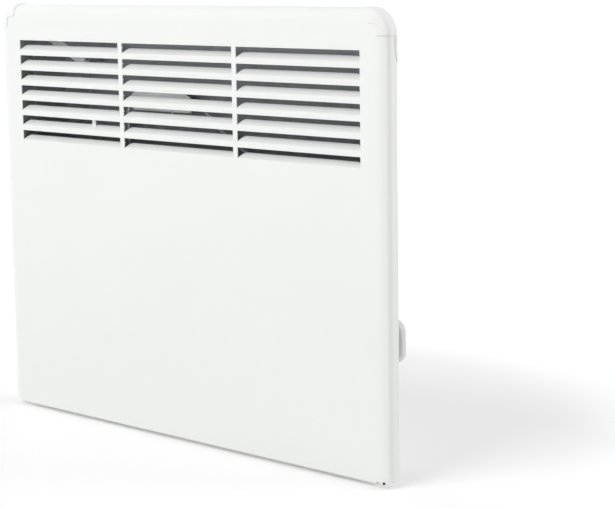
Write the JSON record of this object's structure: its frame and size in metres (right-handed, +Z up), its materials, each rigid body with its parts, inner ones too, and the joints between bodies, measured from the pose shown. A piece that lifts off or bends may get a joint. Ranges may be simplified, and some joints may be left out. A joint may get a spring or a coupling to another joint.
{
  "type": "convector panel heater",
  "caption": "Slim wall-hung electric convector with a louvred white sheet front, rounded corner caps, a side thermostat knob and a rear wall bracket.",
  "frame": {"origin": "floor level, midway across the width and midway between the front of the corner caps and the wall", "axes": "+X to the right seen from the front, +Y towards the wall, +Z up; the louvred front faces -Y"},
  "size_m": [0.451, 0.085, 0.389],
  "materials": {
    "white_enamel": "smooth semi-gloss powder coat",
    "white_plastic": "satin moulded",
    "zinc_sheet": "zinc plated",
    "shield_steel": "dark heat-proof lacquer",
    "fin_metal": "extruded",
    "grey_plastic": "satin moulded",
    "black_plastic": "fine textured",
    "bush_rubber": "silicone",
    "copper_tube": "drawn",
    "lead_sleeve": "woven sleeve"
  },
  "bodies": {
    "casing": {"front_panel": "white_enamel", "corner_cap_left": "white_plastic", "corner_cap_right": "white_plastic", "panel_rail_left": "white_enamel", "panel_rail_right": "white_enamel", "side_screws": "zinc_sheet", "rear_casing": "white_enamel", "inlet_guard": "white_enamel", "heat_shield": "shield_steel", "shield_hook": "white_plastic", "shield_rivets": "zinc_sheet", "corner_brace": "white_enamel", "heating_element": "fin_metal", "element_bracket_left": "zinc_sheet", "element_bracket_right": "zinc_sheet", "element_bushes": "bush_rubber", "terminal_pins": "zinc_sheet", "bracket_rivets": "zinc_sheet", "limiter_bracket": "zinc_sheet", "overheat_limiter": "black_plastic", "limiter_lead": "lead_sleeve", "control_housing": "grey_plastic", "thermostat_body": "black_plastic", "thermostat_nut": "zinc_sheet", "capillary": "copper_tube", "bulb_clips": "zinc_sheet", "rocker_body": "black_plastic", "terminal_block": "white_plastic", "terminal_screws": "zinc_sheet", "cable_gland": "grey_plastic", "gland_nut": "grey_plastic", "element_leads": "lead_sleeve", "bracket_arm_left": "zinc_sheet", "bracket_arm_right": "zinc_sheet", "bracket_rail": "zinc_sheet", "latch_catches": "zinc_sheet", "catch_rivets": "zinc_sheet"},
    "knob": {"thermostat_knob": "grey_plastic", "thermostat_spindle": "zinc_sheet"},
    "rocker": {"rocker_button": "black_plastic"},
    "pin_left": {"locking_pin_left": "grey_plastic"},
    "pin_right": {"locking_pin_right": "grey_plastic"}
  },
  "joints": [
    {"name": "knob_turn", "type": "hinge", "parent": "casing", "child": "knob", "pos_m": [0.2005, -0.005, 0.114], "axis": [1, 0, 0], "range_deg": [-135, 135]},
    {"name": "rocker_tip", "type": "hinge", "parent": "casing", "child": "rocker", "pos_m": [0.193, -0.005, 0.064], "axis": [0, 1, 0], "range_deg": [-18, 0]},
    {"name": "pin_left_slide", "type": "slide", "parent": "casing", "child": "pin_left", "axis": [-1, 0, 0], "range_m": [0, 0.019]},
    {"name": "pin_right_slide", "type": "slide", "parent": "casing", "child": "pin_right", "axis": [1, 0, 0], "range_m": [0, 0.019]}
  ]
}
